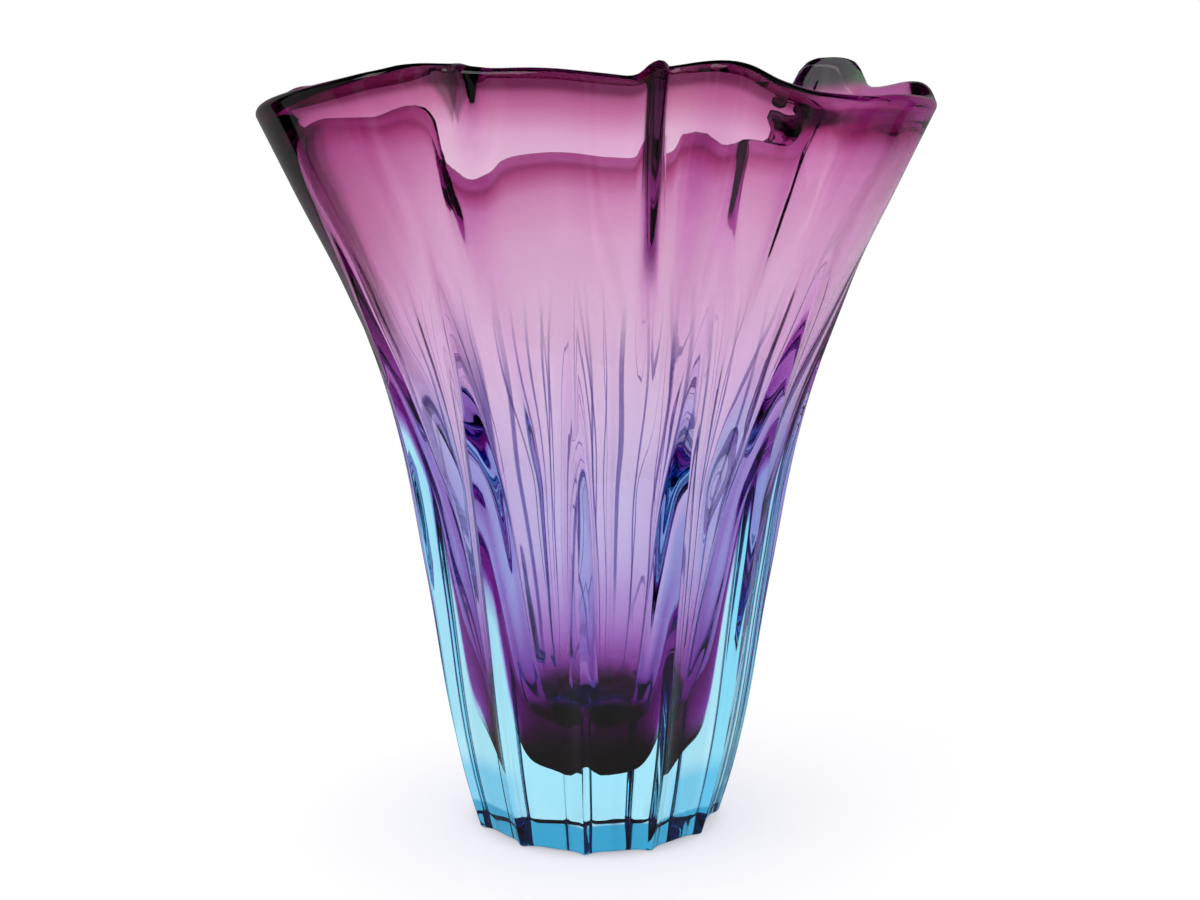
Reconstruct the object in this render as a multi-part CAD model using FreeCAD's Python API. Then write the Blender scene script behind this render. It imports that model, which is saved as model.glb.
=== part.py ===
import FreeCAD, Part
import math
import os

# Fan vase of two glasses fused hot: a clear casing outside and a coloured core inside.
# The origin is the middle of the ground foot. Z runs up the axis, X to the viewer's right, Y away from them.

# Driving lengths in millimetres.
rim_height = 250.0
foot_radius = 42.6
fan_half_width = 117.6
fan_half_depth = 77.0
foot_arris = 1.2

# Counts, and directions in degrees from the side that faces the viewer, positive to the right.
full_turn = 360.0
half_turn = 180.0
rib_count = 12
first_rib_direction = -5.0
arcs_per_rib = 2

# Mean outer wall: height as a share of the rim height, spread as a share of the way from foot to fan.
wall_height_shares = (0.0, 0.12, 0.35, 0.55, 0.75, 0.90, 1.0)
wall_spread_shares = (0.0, 0.105, 0.228, 0.355, 0.600, 0.838, 1.0)

# The plan is round at the foot and flattens to the fan's depth between these heights.
flatten_start_share = 0.15
flatten_end_share = 1.0

# Ribs stand out from the mean wall by a share of its half width, and fade where the mould mark is stretched.
rib_share = 0.042
rib_fade_start_share = 0.35
rib_fade_end_share = 0.92
core_rib_share = 0.50
cavity_rib_share = 0.25

# Folds pressed into flutes at the rim: direction, half width in degrees,
# depth as a share of the wall's half width, and height share of the start.
fold_shares = (
    (-20.0, 8.5, 0.12, 0.60),
    (10.0, 8.0, 0.20, 0.58),
    (40.0, 12.0, 0.05, 0.50),
    (130.0, 10.0, 0.13, 0.55),
    (-170.0, 12.0, 0.05, 0.55),
    (-140.0, 9.0, 0.15, 0.50),
)
fold_power = 1.4
cavity_fold_width_share = 1.20

# Height of the rim all round: direction in degrees, rise above the rim height as a share of it.
rim_rise_shares = (
    (-90.0, -0.006), (-72.0, -0.012), (-50.0, -0.010), (-36.0, -0.002), (-28.0, 0.008), (-20.0, -0.002),
    (-8.0, -0.008), (3.0, -0.014), (13.0, 0.006), (20.0, 0.004), (32.0, -0.018), (44.0, -0.024),
    (60.0, -0.014), (80.0, 0.0), (100.0, 0.042), (117.0, 0.070), (129.0, 0.112), (140.0, 0.0),
    (156.0, 0.002), (171.0, -0.020), (187.0, -0.010), (200.0, -0.030), (209.0, -0.052), (219.0, -0.030),
    (231.0, 0.050), (248.0, 0.045), (270.0, -0.006),
)
rise_start_share = 0.50
rise_power = 1.5

# Core and cavity: height shares, and the part of the outer half width that each one takes there.
core_height_shares = (0.100, 0.106, 0.125, 0.18, 0.25, 0.35, 0.45, 0.55, 0.65, 0.75, 0.87, 1.0)
core_width_shares = (0.30, 0.42, 0.50, 0.57, 0.60, 0.655, 0.74, 0.86, 0.935, 0.966, 0.980, 0.985)
cavity_height_shares = (0.155, 0.162, 0.185, 0.25, 0.35, 0.45, 0.55, 0.65, 0.75, 0.87, 0.95, 1.0)
cavity_width_shares = (0.20, 0.30, 0.40, 0.485, 0.565, 0.66, 0.79, 0.875, 0.915, 0.938, 0.938, 0.930)

# Heights of the outlines that each wall is drawn through.
upper_row_shares = (0.53, 0.58, 0.63, 0.68, 0.725, 0.77, 0.81, 0.85, 0.89, 0.925, 0.96, 1.0)
outer_row_shares = (0.08, 0.17, 0.26, 0.35, 0.44) + upper_row_shares
core_row_shares = (0.100, 0.106, 0.125, 0.16, 0.22, 0.30, 0.38, 0.46) + upper_row_shares
cavity_row_shares = (0.155, 0.162, 0.185, 0.23, 0.30, 0.38, 0.46) + upper_row_shares

# The polished lip turns from the outer wall over the rim to the cavity. The casing ends on its outer side.
lip_step_share = 0.02
casing_end_angle = 45.0
core_lip_angles = (135.0, 90.0, 45.0)


def blend(amount):
    """Ease from nought to one."""
    held = min(1.0, max(0.0, amount))
    return held * held * (3.0 - 2.0 * held)


def slope_at(places, values, index):
    """Slope at one station of the smooth curve through all of them."""
    last = len(places) - 1
    low = max(index - 1, 0)
    high = min(index + 1, last)
    if low == index or high == index:
        return (values[high] - values[low]) / (places[high] - places[low])
    before = (values[index] - values[low]) / (places[index] - places[low])
    after = (values[high] - values[index]) / (places[high] - places[index])
    weight = (places[index] - places[low]) / (places[high] - places[low])
    return before * (1.0 - weight) + after * weight


def through(places, values, place):
    """Value of the smooth curve through the stations."""
    index = 0
    while index < len(places) - 2 and place > places[index + 1]:
        index += 1
    span = places[index + 1] - places[index]
    part = (place - places[index]) / span
    first = slope_at(places, values, index) * span
    second = slope_at(places, values, index + 1) * span
    rising = blend(part)
    bend_in = part * (1.0 - part) * (1.0 - part)
    bend_out = part * part * (part - 1.0)
    return values[index] * (1.0 - rising) + values[index + 1] * rising + first * bend_in + second * bend_out


def apart(direction, centre):
    """Degrees from a centre direction, the short way round."""
    return (direction - centre + half_turn) % full_turn - half_turn


def rib_wave(direction, height_share):
    """Crisp rib crests with hollow flutes between them, as a share of the half width."""
    faded = blend((height_share - rib_fade_start_share) / (rib_fade_end_share - rib_fade_start_share))
    phase = math.radians(rib_count * (direction - first_rib_direction) / 2.0)
    return rib_share * (1.0 - faded) * (1.0 - 2.0 * abs(math.sin(phase)))


def fold_depth(direction, height_share, wider):
    """Share of the half width that the folds press in."""
    pressed = 0.0
    for centre, half_width, depth_share, start_share in fold_shares:
        grown = blend((height_share - start_share) / (1.0 - start_share)) ** fold_power
        distance = apart(direction, centre) / (half_width * wider)
        pressed += depth_share * grown * math.exp(-distance * distance)
    return pressed


def rise(direction, height_share):
    """Share of the rim height by which this side stands above the mean."""
    directions = [station[0] for station in rim_rise_shares]
    rises = [station[1] for station in rim_rise_shares]
    turned = (direction - directions[0]) % full_turn + directions[0]
    grown = blend((height_share - rise_start_share) / (1.0 - rise_start_share)) ** rise_power
    return grown * through(directions, rises, turned)


def half_width_at(height_share):
    """Half width of the mean outer wall."""
    spread = through(wall_height_shares, wall_spread_shares, height_share)
    return foot_radius + spread * (fan_half_width - foot_radius)


def wall_point(direction, height_share, reach):
    """Point of a wall that takes a share of the outer half width."""
    half_width = half_width_at(height_share)
    flat = blend((height_share - flatten_start_share) / (flatten_end_share - flatten_start_share))
    half_depth = half_width * (1.0 - flat * (1.0 - fan_half_depth / fan_half_width))
    turn = math.radians(direction)
    height = rim_height * (height_share + rise(direction, height_share))
    return FreeCAD.Vector(half_width * reach * math.sin(turn), -half_depth * reach * math.cos(turn), height)


def outer_point(direction, height_share):
    """Point of the casing's outer wall."""
    reach = 1.0 + rib_wave(direction, height_share) - fold_depth(direction, height_share, 1.0)
    return wall_point(direction, height_share, reach)


def core_point(direction, height_share):
    """Point where the two glasses meet."""
    reach = through(core_height_shares, core_width_shares, height_share)
    reach += core_rib_share * rib_wave(direction, height_share) - fold_depth(direction, height_share, 1.0)
    return wall_point(direction, height_share, reach)


def cavity_point(direction, height_share):
    """Point of the wall that holds the flowers."""
    reach = through(cavity_height_shares, cavity_width_shares, height_share)
    reach += cavity_rib_share * rib_wave(direction, height_share)
    reach -= fold_depth(direction, height_share, cavity_fold_width_share)
    return wall_point(direction, height_share, reach)


def lip_point(direction, angle):
    """Point of the half round lip, from the outer wall over the crest to the cavity."""
    outer = outer_point(direction, 1.0)
    inner = cavity_point(direction, 1.0)
    low = 1.0 - lip_step_share
    below = (outer_point(direction, low) + cavity_point(direction, low)) * 0.5
    middle = (outer + inner) * 0.5
    half_wall = (outer - inner) * 0.5
    upward = (middle - below).normalize() * half_wall.Length
    turn = math.radians(angle)
    return middle + half_wall * math.cos(turn) + upward * math.sin(turn)


def foot_point(direction, inset):
    """Point on the flat of the ground foot, inside its arris."""
    outer = outer_point(direction, 0.0)
    return outer * ((outer.Length - inset) / outer.Length)


def outline(maker, place):
    """One closed outline in arcs that meet at the rib crests and the flutes' middles."""
    arc_count = rib_count * arcs_per_rib
    half_arc = full_turn / arc_count / 2.0
    points = [maker(first_rib_direction + index * half_arc, place) for index in range(2 * arc_count)]
    points.append(points[0])
    return [Part.Arc(*points[start:start + 3]).toShape() for start in range(0, 2 * arc_count, 2)]


def wall_between(outlines):
    """Faces ruled between each outline and the next."""
    pairs = zip(outlines[:-1], outlines[1:])
    return [Part.makeRuledSurface(low, high) for lower, upper in pairs for low, high in zip(lower, upper)]


def disc(edges):
    """Flat face inside a level outline."""
    return Part.Face(Part.Wire(edges))


def solid_of(faces):
    """Closed solid from faces that meet at their edges."""
    shell = Part.Shell(faces)
    shell.sewShape()
    solid = Part.makeSolid(shell)
    if solid.Volume < 0.0:
        solid.reverse()
    return solid


def vase():
    """The two fused glasses, which share the faces where they meet."""
    casing_end = outline(lip_point, casing_end_angle)
    foot = outline(foot_point, foot_arris)
    foot_top = outline(outer_point, foot_arris / rim_height)
    outer_rows = [outline(outer_point, share) for share in outer_row_shares]
    outer_wall = wall_between([foot, foot_top] + outer_rows + [casing_end])
    core_rows = [outline(core_point, share) for share in core_row_shares]
    joint = wall_between(core_rows + [casing_end]) + [disc(core_rows[0])]
    cavity_rows = [outline(cavity_point, share) for share in cavity_row_shares]
    lip_rows = [outline(lip_point, angle) for angle in core_lip_angles]
    cavity_wall = wall_between(cavity_rows + lip_rows) + [disc(cavity_rows[0])]
    return solid_of([disc(foot)] + outer_wall + joint), solid_of(joint + cavity_wall)


def main():
    os.makedirs("parts", exist_ok=True)
    casing, core = vase()
    casing.exportStep("parts/aquamarine_casing.step")
    core.exportStep("parts/amethyst_core.step")


if __name__ == "__main__":
    main()
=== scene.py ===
import math

import bpy
from bpy.props import FloatProperty, FloatVectorProperty, IntProperty, PointerProperty
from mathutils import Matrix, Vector


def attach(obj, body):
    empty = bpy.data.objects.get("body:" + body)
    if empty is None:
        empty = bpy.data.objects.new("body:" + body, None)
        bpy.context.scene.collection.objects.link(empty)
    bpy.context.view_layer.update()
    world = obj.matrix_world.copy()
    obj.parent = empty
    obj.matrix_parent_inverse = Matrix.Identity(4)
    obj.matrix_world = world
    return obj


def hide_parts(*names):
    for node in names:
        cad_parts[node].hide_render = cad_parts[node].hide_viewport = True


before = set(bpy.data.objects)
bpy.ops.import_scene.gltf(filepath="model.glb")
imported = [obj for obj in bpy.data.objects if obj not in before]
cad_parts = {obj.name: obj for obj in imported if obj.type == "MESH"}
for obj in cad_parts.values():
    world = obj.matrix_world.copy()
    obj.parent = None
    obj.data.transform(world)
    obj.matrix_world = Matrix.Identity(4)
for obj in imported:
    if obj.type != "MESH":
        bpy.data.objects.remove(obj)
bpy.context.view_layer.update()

bl_info = {
    "name": "Fan vase",
    "version": (1, 0, 0),
    "blender": (4, 5, 0),
    "location": "3D View > Sidebar > Vase",
    "description": "A fluted fan vase of aquamarine glass cased over an amethyst core",
    "category": "Add Mesh",
}

# Directions are in degrees from the side that faces the viewer, positive to the right.
# Mean outer wall: height share and spread share from the foot to the fan.
WALL_SPREAD = (
    (0.0, 0.0), (0.12, 0.105), (0.35, 0.228), (0.55, 0.355), (0.75, 0.600), (0.90, 0.838), (1.0, 1.0),
)
# Height share, and the part of the outer half width that the core and the cavity take there.
CORE_WIDTH = (
    (0.090, 0.05), (0.097, 0.20), (0.108, 0.32), (0.125, 0.42), (0.15, 0.495), (0.19, 0.555), (0.25, 0.60),
    (0.35, 0.655), (0.45, 0.74), (0.55, 0.86), (0.65, 0.935), (0.75, 0.966), (0.87, 0.980), (1.0, 0.985),
)
CAVITY_WIDTH = (
    (0.155, 0.06), (0.163, 0.20), (0.178, 0.32), (0.205, 0.42), (0.25, 0.51), (0.35, 0.61), (0.45, 0.70),
    (0.55, 0.825), (0.65, 0.902), (0.75, 0.938), (0.87, 0.950), (0.95, 0.942), (1.0, 0.912),
)
# Folds pressed into the flutes: direction, half width in degrees, depth share, height share of the start,
# and how much wider the fold is on the cavity's side, where the pinched glass has run together.
FOLDS = (
    (-20.0, 8.5, 0.06, 0.60, 1.2),
    (-27.5, 4.2, 0.10, 0.80, 1.4),
    (10.0, 8.0, 0.10, 0.58, 1.2),
    (15.5, 2.6, 0.18, 0.50, 1.7),
    (40.0, 12.0, 0.05, 0.50, 1.2),
    (141.0, 7.0, 0.15, 0.58, 1.3),
    (-170.0, 12.0, 0.05, 0.55, 1.2),
    (-140.0, 9.0, 0.15, 0.50, 1.2),
)
# Height shares where the core and the cavity begin.
CORE_LOW = 0.090
CAVITY_LOW = 0.155
# Thick glass gathered at both ends of the fan, on the cavity's side alone, in the same terms.
THICK_ENDS = ((-90.0, 11.0, 0.045, 0.45, 1.0), (86.0, 16.0, -0.022, 0.45, 1.0))
# Height of the rim all round, as a share of the rim height.
RIM_RISE = (
    (-72.0, -0.012), (-50.0, -0.010), (-36.0, -0.002), (-28.0, 0.008), (-20.0, -0.002), (-8.0, -0.008),
    (5.0, -0.014), (12.0, 0.008), (20.0, 0.005), (32.0, -0.018), (44.0, -0.024), (60.0, -0.014),
    (80.0, 0.0), (100.0, 0.040), (113.0, 0.044), (118.5, 0.056), (123.5, 0.096), (129.5, 0.100),
    (135.5, 0.0), (156.0, 0.002), (171.0, -0.020), (187.0, -0.010), (200.0, -0.030), (209.0, -0.052),
    (219.0, -0.030), (231.0, 0.050), (248.0, 0.045), (270.0, -0.006), (288.0, -0.012),
)
# The rim's curve is drawn from this low end over this span, and grows between these heights.
RISE_LOW = -0.06
RISE_SPAN = 0.20
RISE_RANGE = (0.5, 1.0)
RISE_POWER = 1.5
FULL_TURN = 360.0
HALF_TURN = 180.0
# Direction of the seam of every wall, and of one rib's crest.
SEAM = -72.0
FIRST_CREST = -5.0
# Ribs: heights between which they fade, and how sharp the crests and how deep the flutes are.
RIB_FADE = (0.42, 0.90)
CREST_POWER = 2.2
CREST_GAIN = 2.0
CREST_ROUNDING = 0.002
FLUTE_SHARE = 0.7
# Parts of the ribs' height that show on the joint and in the cavity.
JOINT_RIBS = 0.5
CAVITY_RIBS = 0.25
# The round plan flattens to the fan between these heights.
FLATTEN = (0.15, 1.0)
FOLD_POWER = 1.4
# The lip stands up in the line of the wall above this height. The casing ends at this angle of it in
# degrees, and the two glasses keep a hairline apart there.
LIP_BASE = 0.98
CASING_END_ANGLE = 45.0
CONTACT_ANGLE = 0.4
# Rows of faces across the small sheets, and how the rows of a wall crowd towards its floor.
FOOT_ROWS = 12
ARRIS_ROWS = 6
FLOOR_ROWS = 8
STRIP_ROWS = 3
CASING_LIP_ROWS = 5
CORE_LIP_ROWS = 12
ROW_POWER = 1.3
# Height share that is marked on the ground face, so that it lies above the band of painted blue shade at the
# foot.
GROUND_MARK = 0.05
# Seams narrower than this in metres are closed, and edges sharper than this in radians stay crisp.
SEAM_DISTANCE = 0.000004
SHARP_EDGE = 0.8

# Tint of the open surfaces by height share. The casing's near-black top stop, on the lip, is painted shade of
# the dark surround that the round lip bends into view.
CASING_TINT = (
    (0.0, (0.96, 0.99, 1.0, 1.0)), (0.30, (0.985, 0.985, 1.0, 1.0)), (0.62, (0.985, 0.97, 0.99, 1.0)),
    (0.86, (0.99, 0.88, 0.90, 1.0)), (0.94, (0.93, 0.70, 0.78, 1.0)), (0.975, (0.68, 0.30, 0.42, 1.0)),
    (0.99, (0.34, 0.10, 0.16, 1.0)), (1.0, (0.02, 0.035, 0.02, 1.0)),
)
CORE_TINT = (
    (0.157, (0.48, 0.14, 0.28, 1.0)), (0.176, (0.56, 0.24, 0.46, 1.0)), (0.22, (0.84, 0.60, 0.86, 1.0)),
    (0.34, (1.0, 0.98, 1.0, 1.0)), (0.66, (1.0, 0.97, 0.97, 1.0)), (0.86, (0.99, 0.88, 0.90, 1.0)),
    (0.94, (0.93, 0.72, 0.79, 1.0)), (0.975, (0.70, 0.31, 0.43, 1.0)), (1.0, (0.60, 0.32, 0.42, 1.0)),
)
# Painted shade at the foot and sides: deep blue band, blue heel and bluer sides, for the dark floor and
# surround that the thick glass bends into view.
FOOT_SHADE_BLUE = (0.012, 0.22, 0.46, 1.0)
HEEL_SHADE_BLUE = (0.20, 0.56, 0.84, 1.0)
SIDE_SHADE_BLUE = (0.50, 0.82, 0.96, 1.0)
# Painted shade of the draw lines.
DRAW_LINE_SHADE_NAVY = (0.07, 0.05, 0.26, 1.0)
# Painted shade of the dark surround bent into view: green at the fan's left end, the far bead and the folds,
# and purple under a pleat.
END_SHADE_GREEN = (0.13, 0.17, 0.12, 1.0)
BEAD_SHADE_GREEN = (0.13, 0.25, 0.14, 1.0)
PLEAT_SHADE_GREEN = (0.03, 0.05, 0.03, 1.0)
DROP_SHADE_PURPLE = (0.36, 0.12, 0.36, 1.0)
# Painted shade of the lip: wine on the near half, lighter rose on the far half and the right corner.
LIP_SHADE_WINE = (0.24, 0.07, 0.13, 1.0)
LIP_SHADE_ROSE = (0.72, 0.44, 0.56, 1.0)
WINE = (0.66, 0.26, 0.44, 1.0)
# Colour that the fused faces pass round the floor of the core, and the heights over which it clears.
DEEP_WINE = (0.12, 0.02, 0.03, 1.0)
DEEP_FADE = (0.115, 0.17)
# Where the tints and the painted shade begin and end. Turns run from -1 at the left end of the fan to 1 at the
# right end, once the depth is stretched by the fan's width over its depth. The rest are height shares.
FAN_STRETCH = 1.5
AXIS_GUARD = 0.000001
HEEL_TURN = (0.30, 0.46)
HEEL_TOP = (0.09, 0.13)
FOOT_TOP = (0.041, 0.047)
SIDE_TURN = (0.735, 0.80)
SIDE_START = (0.08, 0.16)
SIDE_END = (0.50, 0.66)
END_TURN = (0.935, 0.988)
END_START = (0.56, 0.72)
WINE_TURN = (0.70, 0.88)
WINE_START = (0.62, 0.86)
WINE_STRENGTH = 0.7
LIP_START = (0.988, 0.998)
FAR_LIP_START = (0.985, 0.998)
CORNER_TURN = (0.55, 0.75)
CORNER_START = (0.975, 0.998)
PLEAT_TURN = 0.184
PLEAT_REACH = (0.027, 0.038)
PLEAT_START = (0.84, 0.91)
DROP_REACH = (0.010, 0.036)
DROP_START = (0.73, 0.80)
NOTCH_TURN = -0.445
NOTCH_SLOPE = 0.9
NOTCH_START = (0.938, 0.956)
NOTCH_STRENGTH = 0.8
# Depth in front of the axis where the near half begins, and height of the bead on the far finger, in metres.
NEAR_DEPTH = (-0.004, 0.012)
BEAD_START = (0.262, 0.270)
# Draw lines, painted as dark shade: heights where they come and go, how many and how fine they are, and how
# they sway.
LINE_START = (0.20, 0.32)
LINE_END = (0.60, 0.78)
LINE_SCALE = 4.2
LINE_FINENESS = 42.0
LINE_SOFTNESS = 0.6
LINE_STRENGTH = 0.97
LINE_SWAY = 0.012
LINE_SWAY_RATE = 90.0
# Faint cords in the skin, stretched upwards.
CORD_STRETCH = (1.0, 1.0, 0.12)
CORD_SCALE = 60.0
CORD_DETAIL = 2.0
CORD_ROUGHNESS = 0.45
CORD_STRENGTH = 0.12
CORD_DEPTH = 0.0006

# Black cards that stand round the white room: direction and half width in degrees.
BLACK_CARDS = ((22.0, 2.5), (68.0, 2.5), (104.0, 4.0), (247.5, 4.5), (292.0, 4.0), (340.0, 32.0))
# How softly a card ends in degrees, how dark cards and ceiling show in the glass, and how high the ceiling is.
CARD_EDGE = 2.0
CARD_DARKNESS = 0.98
CEILING = (0.50, 0.70)
# Share of the room's light that is kept out of plain reflections.
MIRROR_DIMMING = 0.8
WHITE = (1.0, 1.0, 1.0, 1.0)
# Paper sweep in metres: half its side, how far it lies under the foot, and where its glow and painted lavender
# caustic change. Holding the glow off near the foot paints the vase's contact shadow.
SWEEP_HALF = 0.3
SWEEP_LEVEL = -0.0003
SWEEP_GLOW = 0.66
GLOW_START = (0.026, 0.050)
PAINTED_CAUSTIC = (0.93, 0.92, 1.0, 1.0)
PAINTED_CAUSTIC_RANGE = (0.045, 0.12)
# Lamp and camera, in metres, millimetres and degrees.
LAMP_SIZE = (0.9, 0.6)
LAMP_PLACE = (-0.9, -0.6, 1.3)
LAMP_AIM = (0.0, 0.0, 0.15)
CAMERA_PLACE = (0.0, -0.46427, 0.17358)
CAMERA_TILT = 84.897
CAMERA_LENS = 39.0
CAMERA_SENSOR = 36.0
CAMERA_SHIFT = 0.0033
CAMERA_CLIP = 0.01
# Most turns of light in the glass.
GLASS_BOUNCES = 32
MIRROR_BOUNCES = 16
CLEAR_BOUNCES = 64


# Sizes and colours that a maker would change.

class VaseShape(bpy.types.PropertyGroup):
    rim_height: FloatProperty(
        name="Rim height", description="Mean height of the rim over the table", default=0.250, unit="LENGTH")
    foot_radius: FloatProperty(
        name="Foot radius", description="Mean radius of the ground foot", default=0.0426, unit="LENGTH")
    fan_half_width: FloatProperty(
        name="Fan half width", description="Half the width of the mouth", default=0.1176, unit="LENGTH")
    fan_half_depth: FloatProperty(
        name="Fan half depth", description="Half the depth of the mouth", default=0.077, unit="LENGTH")
    foot_arris: FloatProperty(
        name="Foot arris", description="Softened edge round the ground foot", default=0.0012, unit="LENGTH")
    lip_height: FloatProperty(
        name="Lip height", description="Most that the polished lip stands over the wall", default=0.0042,
        unit="LENGTH")
    rib_share: FloatProperty(
        name="Rib height", description="How far a rib stands out, as a share of the half width",
        default=0.042)
    rib_count: IntProperty(name="Ribs", description="Ribs left by the mould", default=12)
    columns: IntProperty(name="Columns", description="Faces round each wall", default=360)
    rows: IntProperty(name="Rows", description="Faces up each wall", default=96)
    skin: FloatProperty(
        name="Contact gap", description="Hairline kept between the two meshes where the glasses are fused",
        default=0.00003, unit="LENGTH")


class VaseGlass(bpy.types.PropertyGroup):
    aqua_absorbs: FloatVectorProperty(
        name="Aquamarine", description="Colour that a thickness of the casing passes", subtype="COLOR",
        size=3, default=(0.08, 0.82, 0.985), min=0.0, max=1.0)
    aqua_density: FloatProperty(name="Aquamarine strength", description="Absorption per metre", default=11.0)
    amethyst_absorbs: FloatVectorProperty(
        name="Amethyst", description="Colour that a thickness of the core passes", subtype="COLOR", size=3,
        default=(0.74, 0.24, 0.71), min=0.0, max=1.0)
    amethyst_density: FloatProperty(
        name="Amethyst strength", description="Absorption per metre", default=215.0)
    refraction: FloatProperty(
        name="Refraction", description="Index of refraction of both glasses", default=1.5)


class VaseStudio(bpy.types.PropertyGroup):
    surround: FloatProperty(name="Surround", description="Light that the white room gives", default=0.85)
    softbox: FloatProperty(
        name="Softbox", description="Power of the overhead lamp", default=3.0, unit="POWER")
    floor_colour: FloatVectorProperty(
        name="Floor", description="Colour of the paper sweep", subtype="COLOR", size=3,
        default=(0.44, 0.44, 0.46), min=0.0, max=1.0)


# Node trees are written as plain arithmetic on the values that run through them.

class Strand:
    """One value in a node tree. Arithmetic on it adds the Math nodes that work it out."""

    def __init__(self, bench, socket):
        self.bench = bench
        self.socket = socket

    def __add__(self, other):
        return self.bench.maths("ADD", self, other)

    def __radd__(self, other):
        return self.bench.maths("ADD", other, self)

    def __sub__(self, other):
        return self.bench.maths("SUBTRACT", self, other)

    def __rsub__(self, other):
        return self.bench.maths("SUBTRACT", other, self)

    def __mul__(self, other):
        return self.bench.maths("MULTIPLY", self, other)

    def __rmul__(self, other):
        return self.bench.maths("MULTIPLY", other, self)

    def __truediv__(self, other):
        return self.bench.maths("DIVIDE", self, other)

    def __rtruediv__(self, other):
        return self.bench.maths("DIVIDE", other, self)

    def __pow__(self, other):
        return self.bench.maths("POWER", self, other)

    def __neg__(self):
        return self.bench.maths("MULTIPLY", self, -1.0)


class Bench:
    """Lays out one node tree."""

    def __init__(self, tree):
        self.tree = tree

    def node(self, kind, settings=None, values=None):
        """A node of one type, with its settings first and then the values or links of its sockets."""
        made = self.tree.nodes.new(kind)
        for name, setting in (settings or {}).items():
            if name == "stops":
                self.set_stops(made.color_ramp, setting)
            elif name == "stations":
                self.set_stations(made.mapping, setting)
            else:
                setattr(made, name, setting)
        for key, value in (values or {}).items():
            self.feed(made.inputs[key], value)
        return made

    def feed(self, socket, value):
        """Link a strand or a list of strands to a socket, or set its value."""
        if isinstance(value, Strand):
            self.tree.links.new(value.socket, socket)
        elif isinstance(value, list):
            for strand in value:
                self.tree.links.new(strand.socket, socket)
        else:
            socket.default_value = value

    def out(self, kind, settings=None, values=None, socket=0):
        """One output of a new node, by its number or its name."""
        return Strand(self, self.node(kind, settings, values).outputs[socket])

    def maths(self, operation, first, second=0.0, third=0.0):
        return self.out("ShaderNodeMath", {"operation": operation}, {0: first, 1: second, 2: third})

    def vectors(self, operation, first, second=(0.0, 0.0, 0.0)):
        return self.out("ShaderNodeVectorMath", {"operation": operation}, {0: first, 1: second})

    def longer(self, vector, amount):
        """A vector times a number."""
        return self.out("ShaderNodeVectorMath", {"operation": "SCALE"}, {0: vector, "Scale": amount})

    def length(self, vector):
        """Length of a vector."""
        return self.out("ShaderNodeVectorMath", {"operation": "LENGTH"}, {0: vector}, "Value")

    def axes(self, vector):
        """The three parts of a vector."""
        parts = self.node("ShaderNodeSeparateXYZ", None, {0: vector})
        return [Strand(self, socket) for socket in parts.outputs]

    def blend(self, share, first, second):
        """A colour between two others."""
        return self.out("ShaderNodeMix", {"data_type": "RGBA"}, {0: share, 6: first, 7: second}, 2)

    def eased(self, value, low, high):
        """Ease from nought to one between two values."""
        return self.out(
            "ShaderNodeMapRange", {"interpolation_type": "SMOOTHSTEP"},
            {"Value": value, "From Min": low, "From Max": high})

    def curve(self, value, stations):
        """Smooth curve through stations."""
        return self.out("ShaderNodeFloatCurve", {"stations": stations}, {"Value": value})

    @staticmethod
    def set_stops(ramp, stops):
        while len(ramp.elements) > 1:
            ramp.elements.remove(ramp.elements[-1])
        ramp.elements[0].position = stops[0][0]
        ramp.elements[0].color = stops[0][1]
        for place, colour in stops[1:]:
            ramp.elements.new(place).color = colour

    @staticmethod
    def set_stations(mapping, stations):
        mapping.use_clip = False
        mapping.extend = "HORIZONTAL"
        points = mapping.curves[0].points
        while len(points) > 2:
            points.remove(points[1])
        points[0].location = stations[0]
        points[1].location = stations[-1]
        for place, value in stations[1:-1]:
            points.new(place, value)
        for point in points:
            point.handle_type = "AUTO"
        mapping.update()


def new_group(name, wanted, given):
    """A geometry node tree with named inputs and outputs."""
    tree = bpy.data.node_groups.new(name, "GeometryNodeTree")
    for title, kind, default in wanted:
        socket = tree.interface.new_socket(name=title, in_out="INPUT", socket_type=kind)
        if default is not None:
            socket.default_value = default
    for title, kind in given:
        tree.interface.new_socket(name=title, in_out="OUTPUT", socket_type=kind)
    bench = Bench(tree)
    entry = tree.nodes.new("NodeGroupInput")
    inputs = {title: Strand(bench, entry.outputs[title]) for title, kind, default in wanted}
    return bench, inputs, tree.nodes.new("NodeGroupOutput")


# Inputs that every wall of the vase shares, with the property that sets each one.
SIZE_INPUTS = (
    ("Rim height", "NodeSocketFloat", 0.25),
    ("Foot radius", "NodeSocketFloat", 0.04),
    ("Fan half width", "NodeSocketFloat", 0.12),
    ("Fan half depth", "NodeSocketFloat", 0.08),
    ("Rib height", "NodeSocketFloat", 0.04),
    ("Ribs", "NodeSocketFloat", 12.0),
    ("Lip height", "NodeSocketFloat", 0.004),
)
PLACE_INPUTS = (("Direction", "NodeSocketFloat", 0.0), ("Height share", "NodeSocketFloat", 0.0)) + SIZE_INPUTS
WIDTH_INPUTS = (
    ("Width share", "NodeSocketFloat", 1.0),
    ("Rib part", "NodeSocketFloat", 1.0),
    ("Inner side", "NodeSocketFloat", 0.0),
)


def use(bench, group, inputs, **changed):
    """One output of a group, with this tree's inputs passed on and some of them changed."""
    values = {}
    for socket in group.interface.items_tree:
        title = socket.name
        if socket.in_out != "INPUT":
            continue
        key = title.replace(" ", "_").lower()
        if key in changed:
            values[title] = changed[key]
        elif title in inputs:
            values[title] = inputs[title]
    return bench.out("GeometryNodeGroup", {"node_tree": group}, values)


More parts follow.
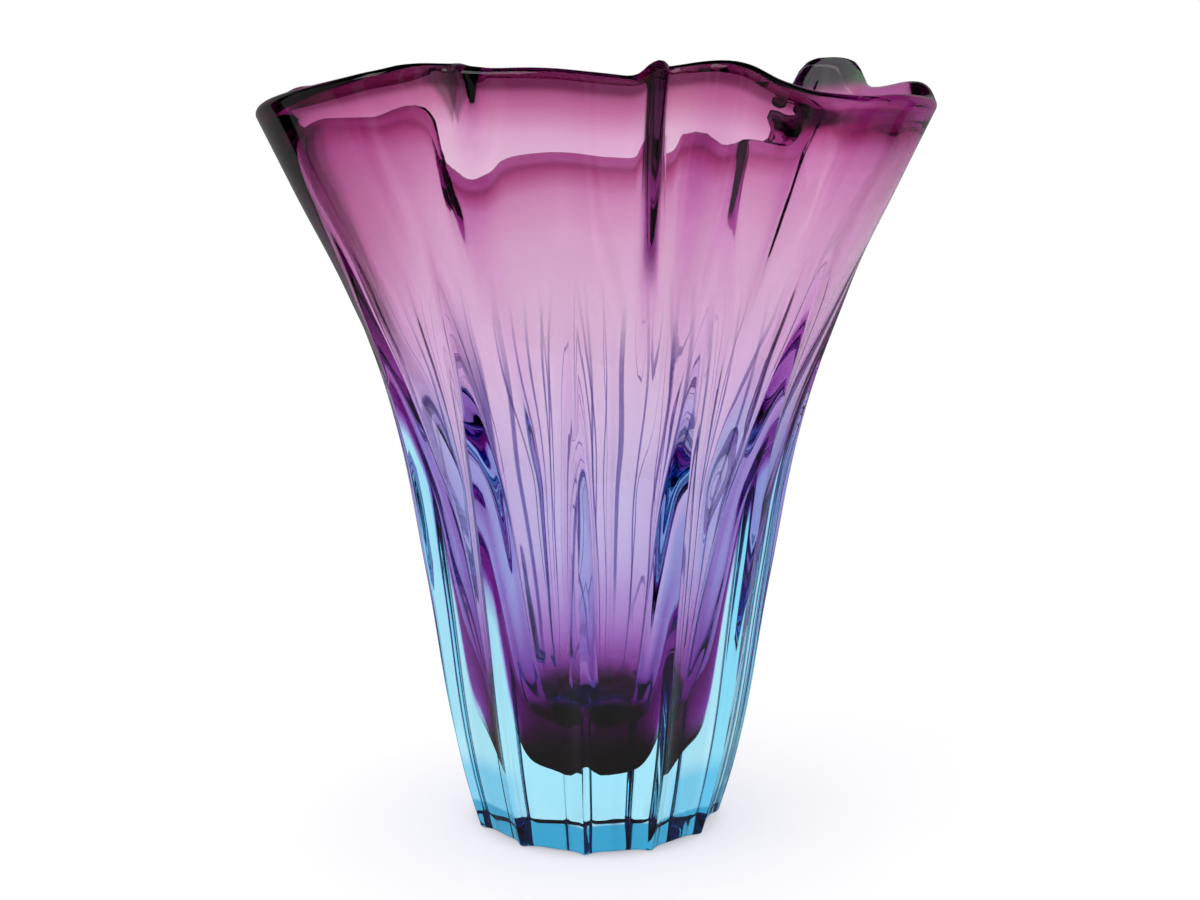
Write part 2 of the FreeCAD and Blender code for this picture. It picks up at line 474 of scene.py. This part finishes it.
def rib_wave_group():
    """Crests of the ribs with hollow flutes between them, fading where the mouth was stretched."""
    bench, given, leave = new_group("rib wave", PLACE_INPUTS, (("Wave", "NodeSocketFloat"),))
    faded = bench.eased(given["Height share"], *RIB_FADE)
    phase = bench.maths("RADIANS", (given["Direction"] - FIRST_CREST) * given["Ribs"] * 0.5)
    swing = bench.maths("SINE", phase)
    hollow = bench.maths("SQRT", swing * swing + CREST_ROUNDING)
    crest = bench.maths("MAXIMUM", 1.0 - hollow, 0.0) ** CREST_POWER
    bench.feed(leave.inputs[0], given["Rib height"] * (1.0 - faded) * (CREST_GAIN * crest - FLUTE_SHARE))
    return bench.tree


def fold_group():
    """Share of the half width that one pressed fold takes."""
    wanted = PLACE_INPUTS[:2] + (
        ("Centre", "NodeSocketFloat", 0.0), ("Half width", "NodeSocketFloat", 10.0),
        ("Depth share", "NodeSocketFloat", 0.1), ("Start share", "NodeSocketFloat", 0.5),
        ("Fold spread", "NodeSocketFloat", 1.0))
    bench, given, leave = new_group("pressed fold", wanted, (("Depth", "NodeSocketFloat"),))
    apart = bench.maths("WRAP", given["Direction"] - given["Centre"], HALF_TURN, -HALF_TURN)
    across = apart / (given["Half width"] * given["Fold spread"])
    grown = bench.eased(given["Height share"], given["Start share"], 1.0) ** FOLD_POWER
    bench.feed(leave.inputs[0], given["Depth share"] * grown * bench.maths("EXPONENT", -(across * across)))
    return bench.tree


def wall_group(rib_wave, fold):
    """A point of a wall that takes a share of the outer half width."""
    wanted = PLACE_INPUTS + WIDTH_INPUTS
    bench, given, leave = new_group("wall place", wanted, (("Place", "NodeSocketVector"),))
    height_share = given["Height share"]
    spread = bench.curve(height_share, WALL_SPREAD)
    half_width = given["Foot radius"] + spread * (given["Fan half width"] - given["Foot radius"])
    flat = bench.eased(height_share, *FLATTEN)
    half_depth = half_width * (1.0 - flat * (1.0 - given["Fan half depth"] / given["Fan half width"]))
    reach = given["Width share"] + given["Rib part"] * use(bench, rib_wave, given)
    for centre, half, depth, start, wider in FOLDS:
        widened = 1.0 + (wider - 1.0) * given["Inner side"]
        reach = reach - use(
            bench, fold, given, centre=centre, half_width=half, depth_share=depth, start_share=start,
            fold_spread=widened)
    for centre, half, depth, start, wider in THICK_ENDS:
        reach = reach - given["Inner side"] * use(
            bench, fold, given, centre=centre, half_width=half, depth_share=depth, start_share=start,
            fold_spread=wider)
    turned = bench.maths("WRAP", given["Direction"], SEAM + FULL_TURN, SEAM)
    stations = [((way - SEAM) / FULL_TURN, (up - RISE_LOW) / RISE_SPAN) for way, up in RIM_RISE]
    rim = bench.curve((turned - SEAM) / FULL_TURN, stations) * RISE_SPAN + RISE_LOW
    rise = rim * bench.eased(height_share, *RISE_RANGE) ** RISE_POWER
    turn = bench.maths("RADIANS", given["Direction"])
    place = bench.out("ShaderNodeCombineXYZ", None, {
        "X": half_width * reach * bench.maths("SINE", turn),
        "Y": -half_depth * reach * bench.maths("COSINE", turn),
        "Z": given["Rim height"] * (height_share + rise)})
    bench.feed(leave.inputs[0], place)
    return bench.tree


def outer_group(wall):
    """A point of the casing's outer wall."""
    bench, given, leave = new_group("outer place", PLACE_INPUTS, (("Place", "NodeSocketVector"),))
    bench.feed(leave.inputs[0], use(bench, wall, given, width_share=1.0, rib_part=1.0, inner_side=0.0))
    return bench.tree


def joint_group(wall):
    """A point where the two glasses are fused."""
    wanted = PLACE_INPUTS + (("Inset share", "NodeSocketFloat", 0.0),)
    bench, given, leave = new_group("joint place", wanted, (("Place", "NodeSocketVector"),))
    width = bench.curve(given["Height share"], CORE_WIDTH) - given["Inset share"]
    place = use(bench, wall, given, width_share=width, rib_part=JOINT_RIBS, inner_side=0.0)
    bench.feed(leave.inputs[0], place)
    return bench.tree


def cavity_group(wall):
    """A point of the wall that holds the flowers."""
    bench, given, leave = new_group("cavity place", PLACE_INPUTS, (("Place", "NodeSocketVector"),))
    width = bench.curve(given["Height share"], CAVITY_WIDTH)
    place = use(bench, wall, given, width_share=width, rib_part=CAVITY_RIBS, inner_side=1.0)
    bench.feed(leave.inputs[0], place)
    return bench.tree


def lip_group(outer, cavity):
    """A point of the half round lip, from the outer wall over the crest to the cavity."""
    wanted = PLACE_INPUTS + (("Lip angle", "NodeSocketFloat", 0.0),)
    bench, given, leave = new_group("lip place", wanted, (("Place", "NodeSocketVector"),))
    outside = use(bench, outer, given, height_share=1.0)
    inside = use(bench, cavity, given, height_share=1.0)
    outside_below = use(bench, outer, given, height_share=LIP_BASE)
    inside_below = use(bench, cavity, given, height_share=LIP_BASE)
    middle = bench.longer(bench.vectors("ADD", outside, inside), 0.5)
    below = bench.longer(bench.vectors("ADD", outside_below, inside_below), 0.5)
    half_wall = bench.longer(bench.vectors("SUBTRACT", outside, inside), 0.5)
    tall = bench.maths("MINIMUM", bench.length(half_wall), given["Lip height"])
    upward = bench.longer(bench.vectors("NORMALIZE", bench.vectors("SUBTRACT", middle, below)), tall)
    turn = bench.maths("RADIANS", given["Lip angle"])
    round_edge = bench.vectors(
        "ADD", bench.longer(half_wall, bench.maths("COSINE", turn)),
        bench.longer(upward, bench.maths("SINE", turn)))
    bench.feed(leave.inputs[0], bench.vectors("ADD", middle, round_edge))
    return bench.tree


def sheet(bench, columns, rows):
    """A grid of faces, with the direction all round it and the share of the way across."""
    grid = bench.out("GeometryNodeMeshGrid", None, {
        "Size X": 1.0, "Size Y": 1.0, "Vertices X": columns, "Vertices Y": rows}, "Mesh")
    along, across = bench.axes(bench.out("GeometryNodeInputPosition"))[:2]
    return grid, (along + 0.5) * FULL_TURN + SEAM, across + 0.5


def moved(bench, mesh, place, contact, height=1.0):
    """The grid moved to its places, marked with its height share and as fused contact or open surface."""
    marked = bench.out(
        "GeometryNodeStoreNamedAttribute", {"data_type": "FLOAT", "domain": "POINT"},
        {"Geometry": mesh, "Name": "height share", "Value": height})
    shaped = bench.out("GeometryNodeSetPosition", None, {"Geometry": marked, "Position": place})
    return bench.out(
        "GeometryNodeStoreNamedAttribute", {"data_type": "FLOAT", "domain": "FACE"},
        {"Geometry": shaped, "Name": "open surface", "Value": 0.0 if contact else 1.0})


def finished(bench, sheets, material):
    """All the sheets of one piece joined, closed at their seams and polished."""
    joined = bench.out("GeometryNodeJoinGeometry", None, {"Geometry": sheets})
    closed = bench.out("GeometryNodeMergeByDistance", None, {"Geometry": joined, "Distance": SEAM_DISTANCE})
    smooth = bench.out("GeometryNodeSetShadeSmooth", {"domain": "FACE"}, {"Geometry": closed})
    angle = bench.out("GeometryNodeInputMeshEdgeAngle")
    sharp = bench.out(
        "FunctionNodeCompare", {"data_type": "FLOAT", "operation": "GREATER_THAN"}, {0: angle, 1: SHARP_EDGE})
    creased = bench.out(
        "GeometryNodeSetShadeSmooth", {"domain": "EDGE"},
        {"Geometry": smooth, "Selection": sharp, "Shade Smooth": False})
    real = bench.out("GeometryNodeRealizeInstances", None, {"Geometry": creased})
    return bench.out("GeometryNodeSetMaterial", None, {"Geometry": real, "Material": material})


PIECE_INPUTS = SIZE_INPUTS + (
    ("Foot arris", "NodeSocketFloat", 0.001),
    ("Contact gap", "NodeSocketFloat", 0.00003),
    ("Casing end angle", "NodeSocketFloat", CASING_END_ANGLE),
    ("Columns", "NodeSocketInt", 256),
    ("Rows", "NodeSocketInt", 110),
    ("Glass", "NodeSocketMaterial", None),
)


def row_height(across, low):
    """Height share of a row, closer together near the floor of a wall."""
    return low + (1.0 - low) * across ** ROW_POWER


def scaled_ring(bench, ring, across):
    """A ring drawn in towards the axis at its own height."""
    x, y, z = bench.axes(ring)
    return bench.out("ShaderNodeCombineXYZ", None, {"X": x * across, "Y": y * across, "Z": z})


def joint_sheets(bench, given, joint, lip, gap_side):
    """The fused wall, its floor and the strip up to the lip, and the lip's angle where they end."""
    columns = given["Columns"] + 1
    inset = given["Contact gap"] / given["Fan half width"] * gap_side
    mesh, direction, across = sheet(bench, columns, given["Rows"])
    height = row_height(across, CORE_LOW)
    place = use(bench, joint, given, direction=direction, height_share=height, inset_share=inset)
    wall_sheet = moved(bench, mesh, place, True, height)
    mesh, direction, across = sheet(bench, columns, FLOOR_ROWS)
    ring = use(bench, joint, given, direction=direction, height_share=CORE_LOW, inset_share=inset)
    lift = bench.out("ShaderNodeCombineXYZ", None, {"Z": given["Contact gap"] * gap_side * (1.0 - across)})
    place = bench.vectors("ADD", scaled_ring(bench, ring, across), lift)
    floor_sheet = moved(bench, mesh, place, True, CORE_LOW)
    mesh, direction, across = sheet(bench, columns, STRIP_ROWS)
    start = use(bench, joint, given, direction=direction, height_share=1.0, inset_share=inset)
    angle = given["Casing end angle"] + CONTACT_ANGLE * gap_side
    end = use(bench, lip, given, direction=direction, lip_angle=angle)
    place = bench.vectors("ADD", bench.longer(start, 1.0 - across), bench.longer(end, across))
    return [wall_sheet, floor_sheet, moved(bench, mesh, place, True)], angle


def lip_sheet(bench, given, lip, low, high, rows):
    """Part of the polished lip between two angles."""
    mesh, direction, across = sheet(bench, given["Columns"] + 1, rows)
    angle = low + (high - low) * across
    return moved(bench, mesh, use(bench, lip, given, direction=direction, lip_angle=angle), False)


def flipped(bench, sheets):
    """The same sheets with their faces turned over."""
    return [bench.out("GeometryNodeFlipFaces", None, {"Mesh": one}) for one in sheets]


def casing_tree(places):
    """Closed mesh of the clear casing."""
    bench, given, leave = new_group("aquamarine casing", PIECE_INPUTS, (("Geometry", "NodeSocketGeometry"),))
    outer = places["outer"]
    columns = given["Columns"] + 1
    arris = given["Foot arris"]
    arris_share = arris / given["Foot radius"]
    low = arris / given["Rim height"]
    mesh, direction, across = sheet(bench, columns, FOOT_ROWS)
    ring = use(bench, outer, given, direction=direction, height_share=0.0)
    foot = moved(bench, mesh, scaled_ring(bench, ring, across * (1.0 - arris_share)), False, GROUND_MARK)
    mesh, direction, across = sheet(bench, columns, ARRIS_ROWS)
    turn = across * (math.pi / 2.0)
    height = low * (1.0 - bench.maths("COSINE", turn))
    ring = use(bench, outer, given, direction=direction, height_share=height)
    pulled = 1.0 - arris_share * (1.0 - bench.maths("SINE", turn))
    edge = moved(bench, mesh, scaled_ring(bench, ring, pulled), False, 0.0)
    mesh, direction, across = sheet(bench, columns, given["Rows"])
    height = low + (1.0 - low) * across
    place = use(bench, outer, given, direction=direction, height_share=height)
    skin = moved(bench, mesh, place, False, height)
    fused, angle = joint_sheets(bench, given, places["joint"], places["lip"], -1.0)
    rim = lip_sheet(bench, given, places["lip"], 0.0, angle, CASING_LIP_ROWS)
    sheets = [foot, edge, skin, rim] + flipped(bench, fused)
    bench.feed(leave.inputs[0], finished(bench, sheets, given["Glass"]))
    return bench.tree


def core_tree(places):
    """Closed mesh of the coloured core."""
    bench, given, leave = new_group("amethyst core", PIECE_INPUTS, (("Geometry", "NodeSocketGeometry"),))
    cavity = places["cavity"]
    columns = given["Columns"] + 1
    fused, angle = joint_sheets(bench, given, places["joint"], places["lip"], 1.0)
    rim = lip_sheet(bench, given, places["lip"], angle, HALF_TURN, CORE_LIP_ROWS)
    mesh, direction, across = sheet(bench, columns, given["Rows"])
    height = row_height(across, CAVITY_LOW)
    place = use(bench, cavity, given, direction=direction, height_share=height)
    wall_sheet = moved(bench, mesh, place, False, height)
    mesh, direction, across = sheet(bench, columns, FLOOR_ROWS)
    ring = use(bench, cavity, given, direction=direction, height_share=CAVITY_LOW)
    floor_sheet = moved(bench, mesh, scaled_ring(bench, ring, across), False, CAVITY_LOW)
    sheets = fused + [rim] + flipped(bench, [wall_sheet, floor_sheet])
    bench.feed(leave.inputs[0], finished(bench, sheets, given["Glass"]))
    return bench.tree


def blown(name, tree, values):
    """Run a tree once and keep its result as a plain mesh at the origin."""
    holder = bpy.data.objects.new(name, bpy.data.meshes.new(name + " blank"))
    bpy.context.scene.collection.objects.link(holder)
    modifier = holder.modifiers.new("build", "NODES")
    modifier.node_group = tree
    for socket in tree.interface.items_tree:
        if socket.in_out == "INPUT" and socket.name in values:
            modifier[socket.identifier] = values[socket.name]
    holder.update_tag()
    evaluated = holder.evaluated_get(bpy.context.evaluated_depsgraph_get())
    mesh = bpy.data.meshes.new_from_object(evaluated)
    if not mesh.polygons:
        raise RuntimeError(name + " came out empty")
    mesh.name = name
    holder.modifiers.remove(modifier)
    holder.data = mesh
    return holder


def shape_values(shape, glass):
    """Values of the named inputs from the panel's sizes."""
    return {
        "Rim height": shape.rim_height,
        "Foot radius": shape.foot_radius,
        "Fan half width": shape.fan_half_width,
        "Fan half depth": shape.fan_half_depth,
        "Rib height": shape.rib_share,
        "Ribs": float(shape.rib_count),
        "Lip height": shape.lip_height,
        "Foot arris": shape.foot_arris,
        "Contact gap": shape.skin,
        "Casing end angle": CASING_END_ANGLE,
        "Columns": shape.columns,
        "Rows": shape.rows,
        "Glass": glass,
    }


def place_groups():
    """The shared trees that say where each wall runs."""
    if "lip place" not in bpy.data.node_groups:
        wall = wall_group(rib_wave_group(), fold_group())
        outer = outer_group(wall)
        cavity = cavity_group(wall)
        joint_group(wall)
        lip_group(outer, cavity)
    return {name: bpy.data.node_groups[name + " place"] for name in ("outer", "joint", "cavity", "lip")}


# Glasses.

def new_material(name):
    material = bpy.data.materials.new(name)
    material.use_nodes = True
    material.node_tree.nodes.clear()
    return material, Bench(material.node_tree)


def painted_draw_lines(bench, place, height):
    """Painted shade of fine upright draw lines in the stretched glass, gone near the rim and the floor."""
    x, y, z = bench.axes(place)
    sway = LINE_SWAY * bench.maths("SINE", z * LINE_SWAY_RATE)
    spread = bench.out("ShaderNodeTexNoise", {"noise_dimensions": "1D"}, {
        "W": bench.maths("ARCTAN2", x, y) + sway, "Scale": LINE_SCALE, "Detail": 0.0})
    line = bench.maths("MAXIMUM", 1.0 - LINE_FINENESS * bench.maths("ABSOLUTE", spread - 0.5), 0.0)
    shown = bench.eased(height, *LINE_START) * (1.0 - bench.eased(height, *LINE_END))
    return bench.eased(line, 0.0, LINE_SOFTNESS) * shown * LINE_STRENGTH


def tint_with_painted_shade(bench, place, height, tint, outside):
    """The tint with painted shade: bluer at the foot and sides, green in the folds, left end and bead, purple
    under a pleat, wine and rose at the lip, for the dark surround and floor that the glass bends into view. A
    wine tint also covers the upper left end.
    """
    x, y, z = bench.axes(place)
    across = y * FAN_STRETCH
    turned = x / bench.maths("SQRT", x * x + across * across + AXIS_GUARD)
    aside = bench.maths("ABSOLUTE", turned)
    near = bench.eased(-y, *NEAR_DEPTH)
    # Painted shade: a blue heel and a deep blue band at the foot on the near half, and bluer sides.
    heel = bench.eased(aside, *HEEL_TURN) * (1.0 - bench.eased(height, *HEEL_TOP)) * near * outside
    foot = (1.0 - bench.eased(height, *FOOT_TOP)) * near
    above_foot = bench.eased(height, *SIDE_START) * (1.0 - bench.eased(height, *SIDE_END))
    blue = outside * bench.eased(aside, *SIDE_TURN) * above_foot
    wine = bench.eased(-turned, *WINE_TURN) * bench.eased(height, *WINE_START) * WINE_STRENGTH
    # Painted shade: green at the fan's left end.
    green = outside * bench.eased(-turned, *END_TURN) * bench.eased(height, *END_START)
    # Painted shade of the lip: dark wine on the near half, lighter rose on the far half and the right corner.
    lip = bench.eased(height, *LIP_START) * near
    far_lip = bench.eased(height, *FAR_LIP_START) * (1.0 - near)
    corner = bench.eased(height, *CORNER_START) * bench.eased(turned, *CORNER_TURN)
    # Painted shade: purple under the pleat, green in the pleat and the notch, and green on the far finger's
    # bead.
    from_pleat = bench.maths("ABSOLUTE", turned - PLEAT_TURN)
    pleat = (1.0 - bench.eased(from_pleat, *PLEAT_REACH)) * near * bench.eased(height, *PLEAT_START)
    drop = (1.0 - bench.eased(from_pleat, *DROP_REACH)) * near * bench.eased(height, *DROP_START)
    from_notch = bench.maths("ABSOLUTE", turned - NOTCH_TURN)
    notch = near * bench.eased(height - NOTCH_SLOPE * from_notch, *NOTCH_START) * NOTCH_STRENGTH
    bead = bench.eased(z, *BEAD_START)
    # The painted shades and the wine tint are laid over the tint in turn.
    shades = (
        (heel, HEEL_SHADE_BLUE), (foot, FOOT_SHADE_BLUE), (blue, SIDE_SHADE_BLUE), (wine, WINE), (green, END_SHADE_GREEN),
        (lip, LIP_SHADE_WINE), (far_lip, LIP_SHADE_ROSE), (corner, LIP_SHADE_ROSE), (drop, DROP_SHADE_PURPLE),
        (pleat, PLEAT_SHADE_GREEN), (notch, PLEAT_SHADE_GREEN), (bead, BEAD_SHADE_GREEN))
    for share, colour in shades:
        tint = bench.blend(share, tint, colour)
    return tint


def glass(name, tint_stops, tone, passes, density, inside):
    """Coloured glass that takes light by its thickness, under a skin with faint cords.

    The last value is 1 for the core and 0 for the casing.
    """
    material, bench = new_material(name)
    place = bench.out("ShaderNodeTexCoord", None, None, "Object")
    height = bench.out("ShaderNodeAttribute", {"attribute_name": "height share"}, None, "Fac")
    open_surface = bench.out("ShaderNodeAttribute", {"attribute_name": "open surface"}, None, "Fac")
    tint = bench.out("ShaderNodeValToRGB", {"stops": tint_stops}, {0: height})
    tint = tint_with_painted_shade(bench, place, height, tint, 1.0 - inside)
    # Painted shade: the draw lines darken the core's tint to navy, where creases would bend the dark surround
    # into view.
    tint = bench.blend(inside * painted_draw_lines(bench, place, height), tint, DRAW_LINE_SHADE_NAVY)
    cords = bench.out("ShaderNodeTexNoise", None, {
        "Vector": bench.out("ShaderNodeMapping", None, {"Vector": place, "Scale": CORD_STRETCH}),
        "Scale": CORD_SCALE, "Detail": CORD_DETAIL, "Roughness": CORD_ROUGHNESS})
    waves = bench.out("ShaderNodeBump", None, {
        "Strength": CORD_STRENGTH, "Distance": CORD_DEPTH, "Height": cords})
    body = bench.out("ShaderNodeBsdfPrincipled", None, {
        "Base Color": tint, "Roughness": 0.0, "IOR": tone.refraction, "Transmission Weight": 1.0,
        "Normal": waves})
    fused = bench.out("ShaderNodeMixShader", None, {
        0: inside * (1.0 - bench.eased(height, *DEEP_FADE)),
        1: bench.out("ShaderNodeBsdfTransparent"),
        2: bench.out("ShaderNodeBsdfTransparent", None, {"Color": DEEP_WINE})})
    surface = bench.out("ShaderNodeMixShader", None, {0: open_surface, 1: fused, 2: body})
    depth = bench.out("ShaderNodeVolumeAbsorption", None, {"Color": (*passes, 1.0), "Density": density})
    bench.node("ShaderNodeOutputMaterial", None, {"Surface": surface, "Volume": depth})
    return material


def ray(bench, kind):
    """One on the light paths of a kind, nought on the others."""
    return bench.out("ShaderNodeLightPath", None, None, "Is " + kind + " Ray")


# Studio.

def floor_material(colour):
    """White paper that keeps the vase's shadow and shows white to the eye and in the glass, with a painted
    shadow round the foot and a painted lavender caustic near it.
    """
    material, bench = new_material("paper sweep")
    seen = bench.maths("MAXIMUM", ray(bench, "Camera"), ray(bench, "Transmission"))
    from_axis = bench.length(bench.out("ShaderNodeTexCoord", None, None, "Object"))
    # Painted light: a lavender caustic near the foot, fading to white further out.
    painted_caustic = bench.blend(bench.eased(from_axis, *PAINTED_CAUSTIC_RANGE), PAINTED_CAUSTIC, WHITE)
    # Painted shadow: the glow to the eye and in the glass is held off round the foot.
    strength = seen * bench.eased(from_axis, *GLOW_START) * SWEEP_GLOW
    both = bench.out("ShaderNodeAddShader", None, {
        0: bench.out("ShaderNodeBsdfDiffuse", None, {"Color": (*colour, 1.0)}),
        1: bench.out("ShaderNodeEmission", None, {"Color": painted_caustic, "Strength": strength})})
    bench.node("ShaderNodeOutputMaterial", None, {"Surface": both})
    return material


def surround_world(strength):
    """White room: white to the eye, and in the glass white with black cards and a dark ceiling."""
    world = bpy.data.worlds.new("white room")
    world.use_nodes = True
    world.node_tree.nodes.clear()
    bench = Bench(world.node_tree)
    x, y, z = bench.axes(bench.out("ShaderNodeTexCoord", None, None, "Generated"))
    dark = bench.eased(z, *CEILING)
    way = bench.maths("ARCTAN2", x, -y)
    for direction, half_width in BLACK_CARDS:
        nearness = bench.maths("COSINE", way - math.radians(direction))
        card = bench.eased(
            nearness, math.cos(math.radians(half_width + CARD_EDGE)), math.cos(math.radians(half_width)))
        dark = bench.maths("MAXIMUM", dark, card)
    passed = ray(bench, "Transmission")
    mirrored = ray(bench, "Glossy") * (1.0 - passed)
    in_glass = bench.maths("MAXIMUM", mirrored, passed)
    plain = strength + (1.0 - strength) * bench.maths("MAXIMUM", ray(bench, "Camera"), in_glass)
    level = plain * (1.0 - in_glass * dark * CARD_DARKNESS) * (1.0 - mirrored * MIRROR_DIMMING)
    back = bench.out("ShaderNodeBackground", None, {"Color": WHITE, "Strength": level})
    bench.node("ShaderNodeOutputWorld", None, {"Surface": back})
    return world


def add_sweep(scene, colour):
    """Lay the paper sweep under the foot."""
    mesh = bpy.data.meshes.new("paper sweep")
    corners = [(x * SWEEP_HALF, y * SWEEP_HALF, SWEEP_LEVEL) for x, y in ((-1, -1), (1, -1), (1, 1), (-1, 1))]
    mesh.from_pydata(corners, [], [(0, 1, 2, 3)])
    mesh.materials.append(floor_material(colour))
    floor = bpy.data.objects.new("paper_sweep", mesh)
    scene.collection.objects.link(floor)


def add_lamp(scene, power):
    """Hang the softbox over the left of the vase."""
    lamp = bpy.data.lights.new("softbox", "AREA")
    lamp.shape = "RECTANGLE"
    lamp.size, lamp.size_y = LAMP_SIZE
    lamp.energy = power
    holder = bpy.data.objects.new("softbox", lamp)
    holder.location = LAMP_PLACE
    aim = Vector(LAMP_AIM) - holder.location
    holder.rotation_euler = aim.to_track_quat("-Z", "Y").to_euler()
    scene.collection.objects.link(holder)


def add_camera(scene):
    """Set the camera that matches the photo's view."""
    camera = bpy.data.cameras.new("camera")
    camera.sensor_width = CAMERA_SENSOR
    camera.lens = CAMERA_LENS
    camera.shift_x = CAMERA_SHIFT
    camera.clip_start = CAMERA_CLIP
    camera.dof.use_dof = False
    holder = bpy.data.objects.new("camera", camera)
    holder.location = CAMERA_PLACE
    holder.rotation_euler = (math.radians(CAMERA_TILT), 0.0, 0.0)
    scene.collection.objects.link(holder)
    scene.camera = holder


def add_piece(name, tree, material, shape, node):
    """Blow one glass and tie it to the node that it shows."""
    piece = blown(name, tree, shape_values(shape, material))
    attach(piece, "root")
    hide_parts(node)


class VASE_OT_casing(bpy.types.Operator):
    """Shape the clear aquamarine casing, with its ribs, pleats and ground foot"""
    bl_idname = "vase.casing"
    bl_label = "Aquamarine casing"

    def execute(self, context):
        tone = context.scene.vase_glass
        material = glass("aquamarine glass", CASING_TINT, tone, tone.aqua_absorbs, tone.aqua_density, 0.0)
        add_piece(
            "blown_casing", casing_tree(place_groups()), material, context.scene.vase_shape,
            "aquamarine_casing")
        return {"FINISHED"}


class VASE_OT_core(bpy.types.Operator):
    """Shape the amethyst core that lines the casing, with the cavity and the lip"""
    bl_idname = "vase.core"
    bl_label = "Amethyst core"

    def execute(self, context):
        tone = context.scene.vase_glass
        material = glass("amethyst glass", CORE_TINT, tone, tone.amethyst_absorbs, tone.amethyst_density, 1.0)
        add_piece(
            "blown_core", core_tree(place_groups()), material, context.scene.vase_shape,
            "amethyst_core")
        return {"FINISHED"}


class VASE_OT_studio(bpy.types.Operator):
    """Set the paper sweep, the white room, the softbox and the camera"""
    bl_idname = "vase.studio"
    bl_label = "Studio"

    def execute(self, context):
        scene = context.scene
        studio = scene.vase_studio
        add_sweep(scene, studio.floor_colour)
        scene.world = surround_world(studio.surround)
        add_lamp(scene, studio.softbox)
        add_camera(scene)
        scene.view_settings.view_transform = "Standard"
        scene.cycles.max_bounces = GLASS_BOUNCES
        scene.cycles.transmission_bounces = GLASS_BOUNCES
        scene.cycles.glossy_bounces = MIRROR_BOUNCES
        scene.cycles.transparent_max_bounces = CLEAR_BOUNCES
        return {"FINISHED"}


class VASE_PT_panel(bpy.types.Panel):
    """Vase sizes, glasses and studio"""
    bl_idname = "VASE_PT_panel"
    bl_label = "Fan vase"
    bl_space_type = "VIEW_3D"
    bl_region_type = "UI"
    bl_category = "Vase"

    def draw(self, context):
        layout = self.layout
        for group in ("vase_shape", "vase_glass", "vase_studio"):
            column = layout.column()
            values = getattr(context.scene, group)
            for name in values.bl_rna.properties.keys():
                if name not in ("rna_type", "name"):
                    column.prop(values, name)
        for operator in (VASE_OT_casing, VASE_OT_core, VASE_OT_studio):
            layout.operator(operator.bl_idname)


CLASSES = (
    VaseShape, VaseGlass, VaseStudio, VASE_OT_casing, VASE_OT_core, VASE_OT_studio, VASE_PT_panel)


def register():
    for item in CLASSES:
        bpy.utils.register_class(item)
    bpy.types.Scene.vase_shape = PointerProperty(type=VaseShape)
    bpy.types.Scene.vase_glass = PointerProperty(type=VaseGlass)
    bpy.types.Scene.vase_studio = PointerProperty(type=VaseStudio)


def unregister():
    del bpy.types.Scene.vase_studio
    del bpy.types.Scene.vase_glass
    del bpy.types.Scene.vase_shape
    for item in reversed(CLASSES):
        bpy.utils.unregister_class(item)


def main():
    register()
    bpy.ops.vase.casing()
    bpy.ops.vase.core()
    bpy.ops.vase.studio()


if __name__ == "__main__":
    main()
